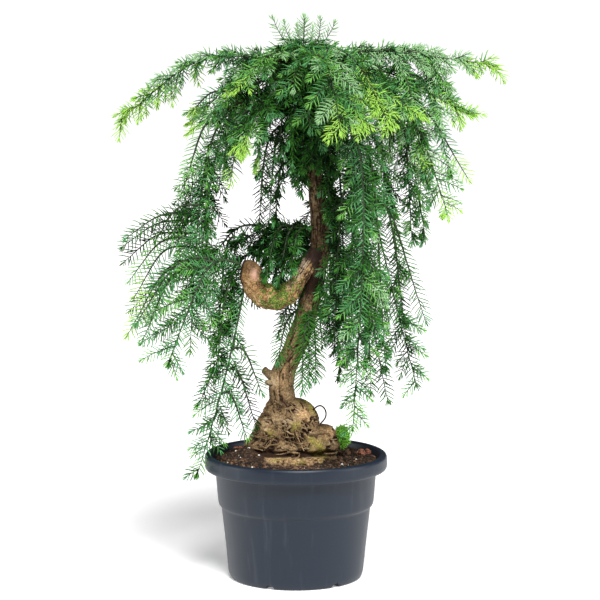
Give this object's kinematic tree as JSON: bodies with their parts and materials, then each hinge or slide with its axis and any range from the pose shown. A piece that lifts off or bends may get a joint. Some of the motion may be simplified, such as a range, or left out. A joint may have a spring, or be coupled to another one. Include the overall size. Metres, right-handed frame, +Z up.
{
  "type": "potted hoop pine bonsai",
  "caption": "Weeping hoop pine bonsai with a flared root foot, an S-bent trunk, a thick curled bough and hanging sprays of needles, in a round plastic nursery pot.",
  "frame": {"origin": "middle of the pot's flat underside, where it stands", "axes": "+Z up along the pot's axis; -Y is the front, the side that the curled bough hangs on"},
  "size_m": [0.5064, 0.3552, 0.7355],
  "materials": {
    "pot": "satin slate blue-grey plastic",
    "potting_mix": "rough moist peat with bark chips and perlite",
    "bark": "flaking brown bark with moss",
    "needles": "matt green needles with paler tips"
  },
  "bodies": {
    "root": {"pot": "pot", "soil": "potting_mix", "trunk": "bark", "curled_bough_arm": "bark", "curled_bough_end": "bark", "bough_back_curtain": "bark", "bough_back_high": "bark", "bough_back_left_curtain": "bark", "bough_back_left_high": "bark", "bough_back_right_curtain": "bark", "bough_back_right_high": "bark", "bough_curl_top": "bark", "bough_front_fan": "bark", "bough_front_fan_mid": "bark", "bough_front_fan_right": "bark", "bough_front_left_high": "bark", "bough_front_right_high": "bark", "bough_left_arch": "bark", "bough_left_curtain": "bark", "bough_left_second": "bark", "bough_left_third": "bark", "bough_right_arch": "bark", "bough_right_column": "bark", "bough_right_curtain": "bark", "bough_right_low": "bark", "bough_right_mid": "bark", "bough_right_second": "bark", "foliage_back_curtain": "needles", "foliage_back_high": "needles", "foliage_back_left_curtain": "needles", "foliage_back_left_high": "needles", "foliage_back_right_curtain": "needles", "foliage_back_right_high": "needles", "foliage_curl_top": "needles", "foliage_foot_spray": "needles", "foliage_front_fan": "needles", "foliage_front_fan_mid": "needles", "foliage_front_fan_right": "needles", "foliage_front_left_high": "needles", "foliage_front_right_high": "needles", "foliage_inner_left": "needles", "foliage_inner_left_b": "needles", "foliage_leader_tuft": "needles", "foliage_left_arch": "needles", "foliage_left_curtain": "needles", "foliage_left_fan_low": "needles", "foliage_left_second": "needles", "foliage_left_tail": "needles", "foliage_left_third": "needles", "foliage_right_arch": "needles", "foliage_right_column": "needles", "foliage_right_curtain": "needles", "foliage_right_inner": "needles", "foliage_right_low": "needles", "foliage_right_mid": "needles", "foliage_right_second": "needles", "foliage_under_curl": "needles"}
  },
  "joints": []
}
